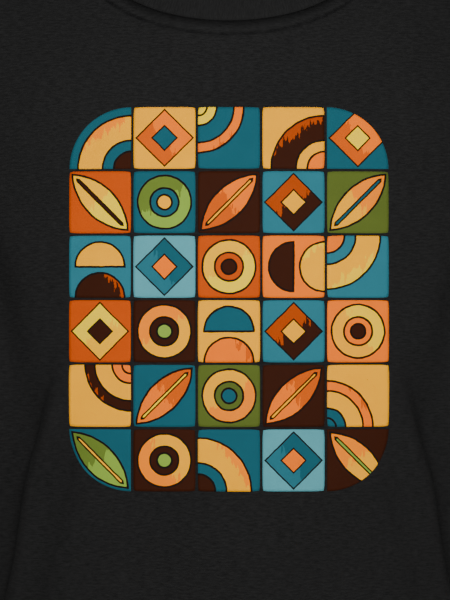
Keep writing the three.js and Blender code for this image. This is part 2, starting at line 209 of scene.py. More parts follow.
def settle(points, way=None):
    # moves points onto the outer surface, the shortest way or along a given direction
    p = np.array(points, float)
    for _ in range(settling["rounds"]):
        gradient = gradientAt(p)
        along = gradient if way is None else np.broadcast_to(way, p.shape)
        rate = (gradient * along).sum(-1)
        limit = settling["longest"] / np.linalg.norm(along, axis=-1)
        p = p - along * np.clip(shirtField(p) / rate, -limit, limit)[..., None]
    return p


# Seam lines on the +X side, from the centre outwards
seamSteps = 60  # steps along a seam before they are shared out anew
seamReach = 14  # how far beside a seam its relief may reach


def neckSeam(facing, fractions):
    turn = evenly(seamSteps) * math.pi / 2
    x = form["neckHalfWidth"] * np.sin(turn)
    if facing > 0:
        y = mix(form["ridgeY"], form["neckBackY"], np.cos(turn))
        fine = settle(np.stack([x, y, 0 * x], -1), np.array([0, 0, 1.0]))
    else:
        y = form["ridgeY"] - form["neckRun"] * np.cos(turn)
        guess = np.stack([x, y, -form["neckDrop"] * np.cos(turn)], -1)
        climb = np.sin(turn) ** form["neckLateClimb"]
        fine = settle(guess, np.stack([0 * x, -np.cos(turn), climb], -1))
    return resample(fine, fractions)


def shoulderSeam(fractions):
    inner = np.array([form["neckHalfWidth"], form["ridgeY"], 0])
    outer = np.array(form["armholeFront"][0])
    return settle(mix(inner, outer, fractions[:, None]), np.array([0, 0, 1.0]))


def armholeSeam(facing, steps):
    corners = (form["armholeFront"] if facing < 0 else form["armholeBack"])[::-1]
    turn = 1 - form["turningPoint"] / (len(corners) - 1)
    halves = ((0, turn), (turn, 1))
    stretch = [settle(splineThrough(corners, mix(a, b, evenly(seamSteps)))) for a, b in halves]
    underarm = resample(stretch[0], steps["underarm"])
    upright = resample(stretch[1], steps["chest"])
    upright[-1] = shoulderSeam(steps["shoulder"])[-1]
    return underarm, upright


def levelRing(facing, height, fractions):
    t = evenly(2 * seamSteps)
    turn = t * math.pi / 2
    start = np.stack([0 * t, form["sideSeamY"] * t, 0 * t + height], -1)
    way = np.stack([np.sin(turn), facing * np.cos(turn), 0 * t], -1)
    return resample(settle(start + way * settling["ringStart"], way), fractions)


def chestLine(facing, end, fractions):
    t = evenly(seamSteps)
    x = end[0] * np.sin(t * math.pi / 2)
    y = facing * settling["chestDepth"] * np.sqrt(1 - settling["chestBend"] * t * t)
    fine = settle(np.stack([x, y, 0 * t + end[2]], -1), np.array([0, 1.0, 0]))
    fine[-1] = end
    return resample(fine, fractions)


def bothSides(half):
    return np.concatenate([mirrored(half[:, :0:-1]), half], 1)


def allRound(halves):
    # a loop round the shirt from its front and back halves on the +X side
    half = np.vstack([halves[0], halves[1][-2::-1]])
    return np.vstack([half, mirrored(half)[-2:0:-1]])


def panelPatches(facing, steps):
    # the lower patch ends at the chest line and the underarms, the upper one at neck and shoulders
    underarm, upright = armholeSeam(facing, steps)
    halfTop = np.vstack([neckSeam(facing, steps["neck"])[:-1], shoulderSeam(steps["shoulder"])])
    chest = chestLine(facing, upright[0], fractionsOf(halfTop))
    halfBreak = np.vstack([chest, underarm[-2::-1]])
    fractions = fractionsOf(halfBreak)
    bandTop = form["hem"] + form["hemBand"]
    heights = [mix(form["hem"], bandTop, v) for v in steps["hem"][:-1]]
    heights += [mix(bandTop, form["waist"], v) for v in steps["skirt"]]
    rings = [levelRing(facing, h, fractions) for h in heights]
    waist = rings[-1]
    rings += [settle(mix(waist, halfBreak, v)) for v in steps["waist"][1:-1]]
    rings.append(halfBreak)
    widths, ups = fractionsOf(halfTop), fractionsOf(upright)
    s, v = widths[None, :, None], ups[:, None, None]
    centre = mix(chest[0], halfTop[0], v)
    patch = mix(chest[None], halfTop[None], v) + mix(centre, upright[:, None], s)
    patch = patch - mix(mix(chest[0], chest[-1], s), mix(halfTop[0], halfTop[-1], s), v)
    upper = settle(patch)
    upper[:, 0, 0] = 0
    upper[0], upper[-1], upper[:, -1] = chest, halfTop, upright
    return [bothSides(np.array(rings)), bothSides(upper)]


def sleeveRing(turn, along):
    spoke = np.cos(turn)[:, None] * armOut + np.sin(turn)[:, None] * np.array([0, -1.0, 0])
    return np.array(form["armStart"]) + armWay * along + spoke * sleeveRadius(along)


def sleevePatch(steps):
    halves = []
    for facing in (-1, 1):
        underarm, upright = armholeSeam(facing, steps)
        halves.append(np.vstack([underarm, upright[1:]])[::-1])
    loop = np.vstack([halves[0], halves[1][-2:0:-1]])
    turn = 2 * math.pi * np.arange(len(loop)) / len(loop)
    bandTop = form["sleeveReach"] - form["hemBand"]
    bandEdge = sleeveRing(turn, bandTop)
    rows = [loop]
    rows += [settle(mix(loop, bandEdge, v)) for v in steps["sleeve"][1:-1]]
    rows += [sleeveRing(turn, mix(bandTop, form["sleeveReach"], v)) for v in 1 - steps["hem"][::-1]]
    return np.array(rows)


# Folds of the worn cloth. Each crease is drawn on the +X side as a few points near the surface,
# then mirrored. A bank is the soft ridge beside the valley, and "outer" widens the outward side.
creases = {
    "chest": {"at": [(100, -102, -262), (115, -98, -302), (124, -94, -329), (132, -90, -353),
                     (142, -86, -401), (155, -76, -460), (170, -60, -540)],
              "width": 6.5, "depth": 13, "bank": 0.12, "outer": 3.2},
    "belly": {"at": [(93, -102, -318), (101, -100, -353), (108, -98, -377), (115, -95, -401),
                     (124, -90, -450), (134, -82, -530)],
              "width": 9, "depth": 3.4, "bank": 0.2, "outer": 2.2},
    "armpitFront": {"at": [(178, -70, -178), (154, -92, -220), (140, -98, -272), (142, -96, -330)],
                    "width": 11, "depth": 3.2},
    "armFront": {"at": [(178, -62, -112), (170, -84, -142), (168, -88, -185)],
                 "width": 10, "depth": 2.2, "bank": 0.4},
    "sideFront": {"at": [(186, -34, -244), (184, -46, -330), (178, -60, -430), (182, -66, -560),
                         (186, -66, -650)], "width": 13, "depth": 5, "bank": 0.6},
    "sideBack": {"at": [(186, 36, -244), (184, 48, -330), (178, 62, -440), (182, 70, -600)],
                 "width": 14, "depth": 5, "bank": 0.6},
    "bladeBack": {"at": [(184, 74, -186), (156, 98, -210), (120, 108, -256), (92, 110, -318)],
                  "width": 12, "depth": 3.4},
    "armpitBack": {"at": [(184, 66, -216), (166, 88, -256), (140, 98, -330), (122, 98, -420)],
                   "width": 13, "depth": 4.2},
    "spineBack": {"at": [(40, 106, -330), (48, 102, -440), (62, 104, -560)], "width": 16, "depth": 3},
    "skirtBack": {"at": [(92, 100, -420), (106, 98, -520), (122, 98, -650)], "width": 14, "depth": 4},
    "skirtFront": {"at": [(62, -106, -468), (72, -106, -560), (82, -106, -668)], "width": 15, "depth": 3},
    "sleeveFront": {"at": [(190, -60, -196), (224, -64, -188), (258, -54, -172)], "width": 9, "depth": 3.4},
    "sleeveUnder": {"at": [(204, -26, -228), (240, -50, -214), (282, -54, -196)], "width": 9, "depth": 3},
    "sleeveBack": {"at": [(194, 66, -196), (232, 68, -186), (268, 52, -166)], "width": 10, "depth": 3.6},
    "sleeveUnderBack": {"at": [(206, 38, -228), (244, 56, -218), (290, 54, -206)], "width": 9, "depth": 3},
    "sleeveCap": {"at": [(226, -26, -72), (246, -42, -104), (262, -52, -146)], "width": 10, "depth": 1.8},
}
# bank for creases that name none, the share of its length over which a crease fades at each end,
# and where its banks lie, how wide they are and how far it reaches, all in its own widths
creaseForm = {"steps": 28, "bank": 0.5, "taper": 0.24, "bankAt": 1.9, "bankWidth": 1.1, "reach": 5}
hemWave = {"depth": 4.5, "count": 7, "flatness": 1.6, "lean": 90}


def creasePaths():
    paths = []
    for crease in creases.values():
        path = settle(splineThrough(crease["at"], evenly(creaseForm["steps"])))
        paths += [(crease, path), (crease, mirrored(path))]
    return paths


def nearestOn(points, path):
    # for each point: the way to the nearest place on the path, and how far along the path that is
    best = np.full(len(points), 1e9)
    away = np.zeros_like(points)
    share = np.zeros(len(points))
    along = fractionsOf(path)
    for i in range(len(path) - 1):
        step = path[i + 1] - path[i]
        t = np.clip(((points - path[i]) @ step) / (step @ step), 0, 1)
        gap = points - path[i] - t[:, None] * step
        far = np.linalg.norm(gap, axis=1)
        near = far < best
        best[near], away[near] = far[near], gap[near]
        share[near] = mix(along[i], along[i + 1], t[near])
    return best, away, share


def waveAt(points):
    turn = np.arctan2(points[:, 0], -points[:, 1] * hemWave["flatness"])
    fade = smooth(form["waist"] - points[:, 2], 0, form["waist"] - form["hem"])
    beside = np.abs(points[:, 0]) < profileAt(form["halfWidth"], points[:, 2]) + form["armpitRounding"]
    return hemWave["depth"] * fade * beside * np.sin(hemWave["count"] * turn + points[:, 2] / hemWave["lean"])


def foldAt(points):
    relief = waveAt(points)
    taper = creaseForm["taper"]
    for crease, path in paths:
        middle = path[len(path) // 2]
        reach = lengthsAlong(path)[-1] / 2 + creaseForm["reach"] * crease["width"]
        close = np.linalg.norm(points - middle, axis=1) < reach
        if not close.any():
            continue
        far, away, share = nearestOn(points[close], path)
        outward = np.abs(points[close][:, 0]) > np.abs(points[close][:, 0] - away[:, 0])
        spread = np.where(outward, crease.get("outer", 1), 1)
        width = crease["width"] * spread
        banks = bell(far, creaseForm["bankAt"] * width, creaseForm["bankWidth"] * width) / spread
        fade = smooth(share, 0, taper) * smooth(1 - share, 0, taper)
        bank = crease.get("bank", creaseForm["bank"])
        relief[close] += crease["depth"] * fade * (bank * banks - bell(far, 0, width))
    return relief


def quadsOf(grid):
    # the four corners of each cell of a grid
    return np.stack([grid[:-1, :-1], grid[:-1, 1:], grid[1:, 1:], grid[1:, :-1]], 2)


# One cloth surface from patches that share edges: its points, cells and rim

def weld(patches, closedRound):
    places, points, grids, cells = {}, [], [], []
    for patch in patches:
        keys = np.round(patch * 1000).astype(int)
        grid = np.empty(patch.shape[:2], int)
        for r, row in enumerate(keys.tolist()):
            for c, key in enumerate(row):
                place = places.setdefault(tuple(key), len(points))
                if place == len(points):
                    points.append(patch[r, c])
                grid[r, c] = place
        if closedRound:
            grid = np.hstack([grid, grid[:, :1]])
        cells.append(quadsOf(grid).reshape(-1, 4))
        grids.append(grid)
    return np.array(points), np.vstack(cells), grids


def rimOf(cells):
    # edges that only one cell has, in the direction in which that cell runs
    edges = np.stack([cells, np.roll(cells, -1, 1)], -1).reshape(-1, 2)
    seen = set(map(tuple, edges.tolist()))
    return np.array([e for e in edges.tolist() if (e[1], e[0]) not in seen])


def putInScene(name, data):
    piece = bpy.data.objects.new(name, data)
    bpy.context.scene.collection.objects.link(piece)
    return piece


def makeMesh(name, points, faces, uvs=None):
    # points and map in millimetres; the mesh is in metres
    mesh = bpy.data.meshes.new(name)
    mesh.from_pydata((np.asarray(points) * mm).tolist(), [], np.asarray(faces).tolist())
    if uvs is not None:
        layer = mesh.uv_layers.new(name="UVMap")
        layer.data.foreach_set("uv", (np.asarray(uvs, np.float32) * mm).ravel())
    mesh.polygons.foreach_set("use_smooth", np.ones(len(mesh.polygons), bool))
    mesh.update()
    return putInScene(name, mesh)


def addValues(mesh, name, domain, values):
    # one number or three for each point or face, for a material or a node tree to read
    values = np.asarray(values, np.float32)
    kind, field = ("FLOAT", "value") if values.ndim == 1 else ("FLOAT_VECTOR", "vector")
    mesh.attributes.new(name, kind, domain).data.foreach_set(field, values.ravel())


def facedOut(points, faces, *maps):
    # a closed mesh's faces turned outwards, and with them the maps of their corners
    a, b, c, d = (points[faces[:, k]] for k in range(4))
    volume = (np.einsum("ij,ij->i", a, np.cross(b, c)) + np.einsum("ij,ij->i", a, np.cross(c, d))).sum()
    return [values[:, ::-1] if volume < 0 else values for values in (faces, *maps)]


def clothShell(name, cloth, uvAt):
    # a closed wall: outer face, inner face and a rounded rim between them
    outer, normals, cells = cloth["face"], cloth["normal"], cloth["cells"]
    inner = outer - normals * cloth["thickness"][:, None]
    rim = rimOf(cells)
    onRim = np.unique(rim)
    centres = outer[cells].mean(1)
    away = np.zeros_like(outer)
    for k in range(4):
        np.add.at(away, cells[:, k], outer[cells[:, k]] - centres)
    bulge = np.full(len(outer), -1)
    bulge[onRim] = np.arange(len(onRim)) + 2 * len(outer)
    out = unit(away[onRim] - (away[onRim] * normals[onRim]).sum(1)[:, None] * normals[onRim])
    middle = (outer[onRim] + inner[onRim]) / 2 + out * cloth["thickness"][onRim, None] * cloth["rimRound"]
    points = np.vstack([outer, inner, middle])
    n = len(outer)
    a, b = rim.T
    upper = np.stack([b, a, bulge[a], bulge[b]], -1)
    lower = np.stack([bulge[b], bulge[a], n + a, n + b], -1)
    faces = np.vstack([cells, cells[:, ::-1] + n, upper, lower])
    uvs = np.vstack([uvAt, uvAt, uvAt[onRim]])[faces]
    if "cornerUv" in cloth:
        uvs[:len(cells)] = cloth["cornerUv"]
        uvs[len(cells):2 * len(cells)] = cloth["cornerUv"][:, ::-1]
    piece = makeMesh(name, points, *facedOut(points, faces, uvs))
    # the painted shade of seams and stitch rows goes to the material as the depth attribute
    if "depth" in cloth:
        depth = cloth["depth"]
        addValues(piece.data, "depth", "POINT", np.concatenate([depth, depth, depth[onRim]]))
    return piece


# Panels and sleeves. The shades say how much painted shade darkens a seam or stitch row, from 0 to 1.
jersey = {"thickness": 0.9, "ditch": 0.9, "ditchWidth": 1.4, "ditchShade": 0.8, "pucker": 0.28,
          "puckerReach": 9, "puckerPitch": 11}
hem = {"thickness": 2.1, "edge": 20, "edgeStep": (-0.6, 0.8), "round": 0.4, "roundBelow": 0.5,
       "rows": (13.5, 19.0), "groove": 0.42, "grooveWidth": 0.9, "grooveShade": 0.6,
       "puckerAt": 16, "puckerReach": 7, "puckerPitch": 7.5, "puckerSlant": 0.6, "lip": 0.5, "lipWidth": 1.1}
neckEdge = {"rows": (3.0, 8.6), "groove": 1.25, "grooveWidth": 0.9, "grooveShade": 0.7, "stitchPitch": 3.1,
            "stitchDip": 0.3, "stitchShade": 0.2, "pad": 1.0, "padEnd": 10.2, "padEdge": 1.6,
            "ditch": 1.3, "ditchWidth": 1.1, "ditchShade": 0.6,
            "pucker": 0.2, "puckerAt": 11, "puckerReach": 5, "puckerPitch": 8}
fineSteps = {
    "neck": evenly(44), "shoulder": graded(26, 8, 0.09), "underarm": 1 - graded(12, 6, 0.1)[::-1],
    "chest": graded(30, 22, 0.135), "hem": evenly(24), "skirt": evenly(70), "waist": evenly(26),
    "sleeve": 1 - graded(34, 8, 0.05)[::-1],
}
paths = creasePaths()


def seamLines():
    lines = {"neck": [], "shoulder": [], "armhole": [], "side": []}
    neck = allRound([neckSeam(facing, evenly(90)) for facing in (-1, 1)])
    lines["neck"].append(np.vstack([neck, neck[:1]]))
    shoulder = shoulderSeam(evenly(30))
    steps = {"underarm": evenly(30), "chest": evenly(50), "shoulder": evenly(4)}
    fronts, backs = [np.vstack([a, b[1:]]) for a, b in (armholeSeam(facing, steps) for facing in (-1, 1))]
    armhole = np.vstack([fronts, backs[-2::-1]])
    heights = mix(form["hem"], form["armholeFront"][-1][2], evenly(seamSteps))
    side = np.array([levelRing(-1, h, np.array([1.0]))[0] for h in heights[:-1]] + [fronts[0]])
    for name, line in (("shoulder", shoulder), ("armhole", armhole), ("side", side)):
        lines[name] += [line, mirrored(line)]
    return lines


def ripple(t, pitch):
    # an uneven wave, as thread and gathered cloth have
    return np.sin(t * 2 * math.pi / pitch + 1.7 * np.sin(t / (2.3 * pitch)) + 0.8 * np.sin(t / (0.9 * pitch)))


def farFrom(name, points):
    # distance to the nearest seam of a kind, and the length along it
    far, run = np.full(len(points), 1e9), np.zeros(len(points))
    for line in lines[name]:
        low, high = line.min(0) - seamReach, line.max(0) + seamReach
        close = ((points > low) & (points < high)).all(1)
        if close.any():
            d, _, share = nearestOn(points[close], line)
            better = d < far[close]
            spot = np.flatnonzero(close)[better]
            far[spot], run[spot] = d[better], share[better] * lengthsAlong(line)[-1]
    return far, run


def seamRelief(points):
    # height of the cloth round its seams, and how much painted shade a place gets in a seam or stitch row
    relief, depth = np.zeros(len(points)), np.zeros(len(points))
    for name in ("shoulder", "armhole", "side"):
        far, run = farFrom(name, points)
        ditch = bell(far, 0, jersey["ditchWidth"])
        pucker = bell(far, 0, jersey["puckerReach"]) * ripple(run, jersey["puckerPitch"])
        relief += jersey["pucker"] * pucker - jersey["ditch"] * ditch
        depth = np.maximum(depth, jersey["ditchShade"] * ditch)
    edge = neckEdge
    far, run = farFrom("neck", points)
    stitches = ripple(run, edge["stitchPitch"])
    ditch = bell(far, 0, edge["ditchWidth"])
    relief += edge["pad"] * (1 - smooth(far, edge["padEnd"] - edge["padEdge"], edge["padEnd"]))
    relief -= edge["ditch"] * ditch
    depth = np.maximum(depth, edge["ditchShade"] * ditch)
    for row in edge["rows"]:
        groove = bell(far, row, edge["grooveWidth"])
        relief -= edge["groove"] * groove * (1 + edge["stitchDip"] * stitches)
        depth = np.maximum(depth, groove * (edge["grooveShade"] + edge["stitchShade"] * stitches))
    pucker = bell(far, edge["puckerAt"], edge["puckerReach"]) * ripple(run, edge["puckerPitch"])
    return relief + edge["pucker"] * pucker, depth


def hemRelief(height, run):
    pucker = bell(height, hem["puckerAt"], hem["puckerReach"])
    relief = jersey["pucker"] * pucker * ripple(run + hem["puckerSlant"] * height, hem["puckerPitch"])
    for row in hem["rows"]:
        relief = relief - hem["groove"] * bell(height, row, hem["grooveWidth"])
    return relief - hem["lip"] * bell(height, 0, hem["lipWidth"])


def clothOf(patches, closedRound, heightOf, runOf):
    points, cells, grids = weld(patches, closedRound)
    normals = normalAt(points)
    height = heightOf(points)
    seams, depth = seamRelief(points)
    # painted shade in the hem's stitch rows joins the painted shade of the seams
    for row in hem["rows"]:
        depth = np.maximum(depth, hem["grooveShade"] * bell(height, row, hem["grooveWidth"]))
    relief = foldAt(points) + seams + hemRelief(height, runOf(points))
    start, end = hem["edge"] + np.array(hem["edgeStep"])
    thickness = mix(hem["thickness"], jersey["thickness"], smooth(height, start, end))
    rimRound = np.where(height < hem["roundBelow"], hem["round"], 0)[np.unique(rimOf(cells)), None]
    return {"plain": points, "normal": normals, "cells": cells, "grids": grids, "depth": depth,
            "face": points + normals * relief[:, None], "thickness": thickness, "rimRound": rimRound}


def unrolledAround(points, level=-250):
    # length round the body from the front's centre, measured on one ring for all heights
    half = [levelRing(facing, level, evenly(80)) for facing in (-1, 1)]
    around = np.vstack([half[0], half[1][-2::-1]])
    turns = np.arctan2(around[:, 0], -around[:, 1])
    length = np.interp(np.abs(np.arctan2(points[:, 0], -points[:, 1])), turns, lengthsAlong(around))
    return np.sign(points[:, 0]) * length


def aboveHem(points):
    return points[:, 2] - form["hem"]


def roundSleeve(points):
    q = armPlace(points)[1]
    return np.arctan2(-q[:, 1], q @ armOut) * form["sleeveHem"]


def aboveSleeveHem(points):
    return form["sleeveReach"] - armPlace(points)[0]


lines = seamLines()
print("shirt: seam lines drawn")


def makePanel(name, facing):
    cloth = clothOf(panelPatches(facing, fineSteps), False, aboveHem, unrolledAround)
    lower, upper = cloth["grids"]
    up = np.zeros(len(cloth["plain"]))
    up[lower] = cloth["plain"][lower][..., 2]
    steps = np.linalg.norm(np.diff(cloth["plain"][upper], axis=0), axis=-1)
    up[upper[1:]] = up[upper[0]] + np.cumsum(steps, axis=0)
    return clothShell(name, cloth, np.stack([unrolledAround(cloth["plain"]), up], -1)), cloth


def makeSleeve(name, side):
    cloth = clothOf([sleevePatch(fineSteps) * [side, 1, 1]], True, aboveSleeveHem, roundSleeve)
    grid = cloth["grids"][0]
    count = grid.shape[1] - 1
    around = np.broadcast_to(np.arange(count + 1) / count * 2 * math.pi * form["sleeveRoot"], grid.shape)
    steps = np.linalg.norm(np.diff(cloth["plain"][grid], axis=0), axis=-1)
    down = -np.vstack([np.zeros(count + 1), np.cumsum(steps, axis=0)])
    flat = np.stack([around, down], -1)
    uv = np.zeros((len(cloth["plain"]), 2))
    uv[grid[:, :-1]] = flat[:, :-1]
    cloth["cornerUv"] = quadsOf(flat).reshape(-1, 4, 2)
    return clothShell(name, cloth, uv)


frontPanel, frontCloth = makePanel("front_body", -1)
backPanel, backCloth = makePanel("back_body", 1)
leftSleeve = makeSleeve("sleeve_left", 1)
rightSleeve = makeSleeve("sleeve_right", -1)
print("shirt: panels and sleeves made")


# Neck rib: a doubled band of one-by-one rib knit, a little fuller in its middle and tucked in at
# the seam. The leans say how far the band tips in over the neck for each millimetre it rises.
neckRib = {"width": 18, "thickness": 2.2, "leanFront": 0.4, "leanSide": 0.8, "leanBack": 0.26,
           "ribCount": 384, "pointsPerRib": 6, "relief": 0.1, "ribSharpness": 0.7, "rows": 9, "foldRows": 5,
           "evening": 40, "swell": 0.35, "swellShape": 0.8, "swellInside": 0.4, "tuck": 0.75,
           "tuckRows": 0.8, "tuckInside": 0.3, "fade": 0.5, "fadeRows": 0.7, "foldReach": 1.1}
neckMiddle = np.array([0, -10, 0])


def neckLoop():
    # the draped neck seam all the way round, with the cloth's normals
    ends = []
    for cloth in (frontCloth, backCloth):
        top = cloth["grids"][1][-1]
        half, middle = len(fineSteps["neck"]) - 1, len(top) // 2
        spots = top[middle - half:middle + half + 1]
        ends.append((cloth["face"][spots], cloth["normal"][spots]))
    # from the -X high point over the front to the +X one, and back behind
    return [np.vstack([front, back[-2:0:-1]]) for front, back in zip(*ends)]


def closedResample(values, at, fractions):
    wrapped = np.vstack([values, values[:1]])
    return np.stack([np.interp(fractions, at, wrapped[:, k]) for k in range(values.shape[1])], -1)


def ribSections():
    points, normals = neckLoop()
    points = points + normals * neckEdge["ditch"]  # back out of the ditch
    at = fractionsOf(np.vstack([points, points[:1]]))
    count = neckRib["ribCount"] * neckRib["pointsPerRib"]
    fractions = np.arange(count) / count
    seam = closedResample(points, at, fractions)
    for _ in range(neckRib["evening"]):
        seam = (np.roll(seam, 1, 0) + 2 * seam + np.roll(seam, -1, 0)) / 4
    face = unit(closedResample(normals, at, fractions))
    way = unit(np.roll(seam, -3, 0) - np.roll(seam, 3, 0))
    along = unit(np.cross(face, way))
    inward = unit((neckMiddle - seam) * [1, 1, 0])
    along *= np.sign((along * inward).sum(1))[:, None]
    ends = np.where(inward[:, 1] > 0, neckRib["leanFront"], neckRib["leanBack"])
    lean = mix(neckRib["leanSide"], ends, inward[:, 1] ** 2)
    lean = unit(inward * lean[:, None] + [0, 0, 1])
    return seam, face, way, along, lean, fractions


def makeRib():
    rib = neckRib
    seam, normal, way, along, lean, fractions = ribSections()
    half, rows = rib["thickness"] / 2, rib["rows"]
    step = (rib["width"] - half) / rows
    wave = np.cos(fractions * rib["ribCount"] * 2 * math.pi)
    ribs = rib["relief"] * (np.abs(wave) ** rib["ribSharpness"] * np.sign(wave))
    middle = seam - normal * jersey["thickness"] / 2
    outerSide, innerSide, fold = [], [], []
    for row in range(rows + 1):
        rise = unit(mix(along, lean, smooth(np.array(row / rows), 0, 1)))
        face = unit(np.cross(way, rise))
        face *= np.sign((face * normal).sum(1))[:, None]
        swell = rib["swell"] * math.sin(math.pi * row / rows) ** rib["swellShape"]
        tuck = rib["tuck"] * bell(row, 0, rib["tuckRows"])
        relief = ribs * (1 - rib["fade"] * bell(row, 0, rib["fadeRows"]))
        inside = rib["swellInside"] * swell - rib["tuckInside"] * tuck
        outerSide.append(middle + face * (half + swell - tuck + relief)[:, None])
        innerSide.append(middle - face * (half + inside - relief)[:, None])
        if row < rows:
            middle = middle + rise * step
    for k in range(1, rib["foldRows"] + 1):
        angle = math.pi * k / (rib["foldRows"] + 1)
        radius = half + ribs * abs(math.cos(angle))
        over = lean * (half * math.sin(angle)) * rib["foldReach"]
        fold.append(middle + face * (radius * math.cos(angle))[:, None] + over)
    grid = np.array(outerSide + fold + innerSide[::-1]).transpose(1, 0, 2)
    spots = np.arange(grid.shape[0] * grid.shape[1]).reshape(grid.shape[:2])
    faces = quadsOf(np.pad(spots, ((0, 1), (0, 1)), mode="wrap")).reshape(-1, 4)
    loopLength = lengthsAlong(np.vstack([seam, seam[:1]]))[-1]
    around = np.append(fractions, 1) * loopLength
    across = np.append(lengthsAlong(grid[0]), 2 * rib["width"] + 5)
    flat = np.stack(np.broadcast_arrays(around[:, None], across[None, :]), -1)
    points = grid.reshape(-1, 3)
    shell = facedOut(points, faces, quadsOf(flat).reshape(-1, 4, 2))
    return makeMesh("neck_rib_band", points, *shell), loopLength


ribBand, neckLength = makeRib()
print("shirt: neck rib made,", round(neckLength), "mm round")


# Tape over the back neck seam
tape = {"width": 10, "thickness": 0.7, "inset": 1.5, "behind": 3.0, "rows": 6, "steps": graded(54, 1, 0.12),
        "edgeDrop": 0.15, "rimRound": 0.25}


def makeTape():
    half = neckSeam(1, tape["steps"][:-1])
    seam = np.vstack([mirrored(half[:0:-1]), half])
    middle = np.array([0, form["ridgeY"] - tape["width"], 0])
    away = unit((seam - middle) * [1, 1, 0])
    rows = [settle(seam + away * (tape["inset"] + t * tape["width"])) for t in evenly(tape["rows"])]
    points, cells, grids = weld([np.array(rows)], False)
    normals = normalAt(points)
    grid = grids[0]
    edge = np.zeros(len(points))
    edge[grid[0]] = edge[grid[-1]] = 1
    relief = foldAt(points) - tape["behind"] - tape["edgeDrop"] * edge
    cloth = {"normal": normals, "cells": cells, "face": points + normals * relief[:, None],
             "thickness": np.full(len(points), tape["thickness"]),
             "rimRound": np.full((len(np.unique(rimOf(cells))), 1), tape["rimRound"])}
    uv = np.zeros((len(points), 2))
    uv[grid, 0] = lengthsAlong(rows[0])[None, :]
    uv[grid, 1] = (evenly(tape["rows"]) * tape["width"])[:, None]
    return clothShell("back_neck_tape", cloth, uv)


neckTape = makeTape()
print("shirt: tape made")


# Chest print: thin ink on the cloth, as a mosaic of tiles with the cloth showing between them
chestPrint = {"top": -128, "tile": 38.8, "columns": 5, "rows": 6, "gap": 1.5, "cells": 22,
              "proud": 0.16, "sunk": 0.05, "corner": 0.05}


# Colours of the ink, and which ones a motif may wear as ground, shape, accent and shade
inkColours = {
    "deepTeal": "245763", "teal": "33707d", "paleTeal": "5d9ca5", "orange": "ff7812", "burnt": "c44e10",
    "amber": "ffae10", "yellow": "ffd840", "brown": "341609", "green": "86a548", "olive": "55622a",
    "cream": "f8e6b4",
}
inkParts = ("ground", "shape", "accent", "shade")
inkSchemes = [scheme.split() for scheme in (
    "deepTeal orange yellow burnt", "deepTeal amber brown orange", "teal amber orange yellow",
    "brown orange amber burnt", "brown amber green orange", "orange deepTeal yellow teal",
    "amber brown orange burnt", "paleTeal deepTeal orange teal", "deepTeal green amber olive",
    "olive yellow brown amber", "amber orange deepTeal burnt", "teal brown amber burnt",
    "burnt yellow brown amber", "olive amber deepTeal orange", "orange amber brown yellow",
)]
inkMotifs = 6
inkSeed = 11


def inkPlan(random):
    # a motif, a scheme and a turn for each tile, with no two alike side by side
    plan = []
    for _ in range(chestPrint["rows"]):
        line = []
        for column in range(chestPrint["columns"]):
            near = line[-1:] + ([plan[-1][column]] if plan else [])
            motifs = [m for m in range(inkMotifs) if m not in [n[0] for n in near]]
            schemes = [s for s in inkSchemes if s[0] not in [n[1][0] for n in near]]
            motif = motifs[random.integers(len(motifs))]
            scheme = schemes[random.integers(len(schemes))]
            line.append((motif, scheme, random.integers(4)))
        plan.append(line)
    return plan


def colourOf(code):
    # a display colour such as 2c6370 as linear light
    parts = [int(code[i:i + 2], 16) / 255 for i in (0, 2, 4)]
    return tuple(((p + 0.055) / 1.055) ** 2.4 if p > 0.04 else p / 12.92 for p in parts)


def onFront(x, z):
    # the front's outer face at the given places, and its normals
    start = np.stack([x, -profileAt(form["frontDepth"], z), z], -1)
    points = settle(start, np.array([0, 1.0, 0]))
    normals = normalAt(points)
    return points + normals * foldAt(points)[:, None], normals


def tileGrid(column, row):
    # places in one tile, from 0 to 1; the four outer corners of the whole print are round
    s, t = np.meshgrid(evenly(chestPrint["cells"]), evenly(chestPrint["cells"]))
    lastColumn, lastRow = chestPrint["columns"] - 1, chestPrint["rows"] - 1
    if column in (0, lastColumn) and row in (0, lastRow):
        outX, outZ = column > 0, row == 0
        a = s if outX else 1 - s
        b = t if outZ else 1 - t
        a, b = a * np.sqrt(1 - b * b / 2), b * np.sqrt(1 - a * a / 2)
        return a if outX else 1 - a, b if outZ else 1 - b
    a, b = 2 * s - 1, 2 * t - 1
    k = chestPrint["corner"]
    return (a * np.sqrt(1 - k * b ** 8) + 1) / 2, (b * np.sqrt(1 - k * a ** 8) + 1) / 2


